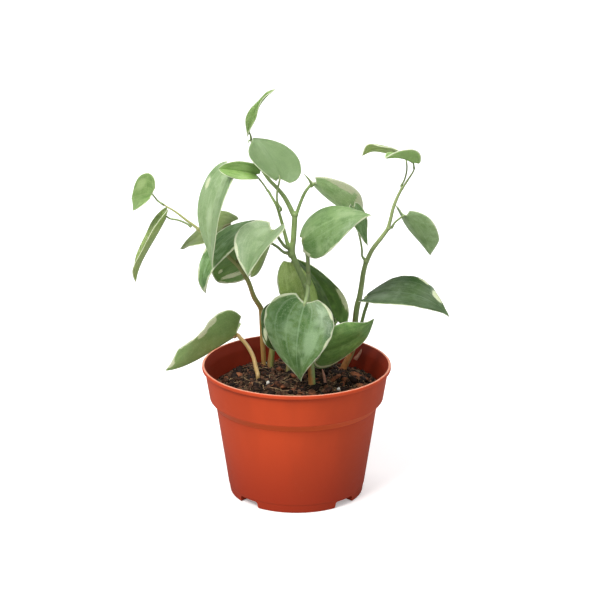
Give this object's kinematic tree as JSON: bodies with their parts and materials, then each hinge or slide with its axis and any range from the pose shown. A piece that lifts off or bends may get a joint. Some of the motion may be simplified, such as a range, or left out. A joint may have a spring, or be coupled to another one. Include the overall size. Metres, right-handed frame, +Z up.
{
  "type": "potted plant",
  "caption": "Trailing peperomia with cream-edged heart-shaped leaves on fleshy stems, in a round tapered nursery pot with a stepped collar and soil.",
  "frame": {"origin": "centre of the pot's flat underside, on the surface it stands on", "axes": "+Z up along the pot's axis, the front faces -Y, +X is to the right seen from the front"},
  "size_m": [0.1714, 0.107, 0.2206],
  "materials": {
    "pot": "moulded terracotta red, satin",
    "soil": "damp dark potting mix with bark",
    "stem_main": "smooth fleshy stem, green to tan",
    "stem_left": "smooth fleshy stem, green to tan",
    "stem_right": "smooth fleshy stem, green to tan",
    "stub_left": "smooth fleshy stem, green to tan",
    "stub_middle": "smooth fleshy stem, green to tan",
    "leaf_top_bud": "waxy satin, green with a cream edge",
    "leaf_top_round": "waxy satin, green with a cream edge",
    "leaf_upper_left": "waxy satin, green with a cream edge",
    "leaf_long_hanging": "waxy satin, green with a cream edge",
    "leaf_left_backward": "waxy satin, green with a cream edge",
    "leaf_left_broad": "waxy satin, green with a cream edge",
    "leaf_left_under": "waxy satin, green with a cream edge",
    "leaf_centre_left": "waxy satin, green with a cream edge",
    "leaf_centre_left_back": "waxy satin, green with a cream edge",
    "leaf_centre_right": "waxy satin, green with a cream edge",
    "leaf_right_back": "waxy satin, green with a cream edge",
    "leaf_right_back_small": "waxy satin, green with a cream edge",
    "leaf_front_heart": "waxy satin, green with a cream edge",
    "leaf_behind_stem": "waxy satin, green with a cream edge",
    "leaf_front_left_back": "waxy satin, green with a cream edge",
    "leaf_dark_back": "waxy satin, green with a cream edge",
    "leaf_front_right_low": "waxy satin, green with a cream edge",
    "leaf_right_long": "waxy satin, green with a cream edge",
    "leaf_right_upper": "waxy satin, green with a cream edge",
    "leaf_far_right_near": "waxy satin, green with a cream edge",
    "leaf_far_right_far": "waxy satin, green with a cream edge",
    "leaf_far_left_folded": "waxy satin, green with a cream edge",
    "leaf_far_left_small": "waxy satin, green with a cream edge",
    "leaf_low_left": "waxy satin, green with a cream edge"
  },
  "bodies": {
    "root": {"pot": "pot", "soil": "soil", "stem_main": "stem_main", "stem_left": "stem_left", "stem_right": "stem_right", "stub_left": "stub_left", "stub_middle": "stub_middle", "leaf_top_bud": "leaf_top_bud", "leaf_top_round": "leaf_top_round", "leaf_upper_left": "leaf_upper_left", "leaf_long_hanging": "leaf_long_hanging", "leaf_left_backward": "leaf_left_backward", "leaf_left_broad": "leaf_left_broad", "leaf_left_under": "leaf_left_under", "leaf_centre_left": "leaf_centre_left", "leaf_centre_left_back": "leaf_centre_left_back", "leaf_centre_right": "leaf_centre_right", "leaf_right_back": "leaf_right_back", "leaf_right_back_small": "leaf_right_back_small", "leaf_front_heart": "leaf_front_heart", "leaf_behind_stem": "leaf_behind_stem", "leaf_front_left_back": "leaf_front_left_back", "leaf_dark_back": "leaf_dark_back", "leaf_front_right_low": "leaf_front_right_low", "leaf_right_long": "leaf_right_long", "leaf_right_upper": "leaf_right_upper", "leaf_far_right_near": "leaf_far_right_near", "leaf_far_right_far": "leaf_far_right_far", "leaf_far_left_folded": "leaf_far_left_folded", "leaf_far_left_small": "leaf_far_left_small", "leaf_low_left": "leaf_low_left"}
  },
  "joints": []
}
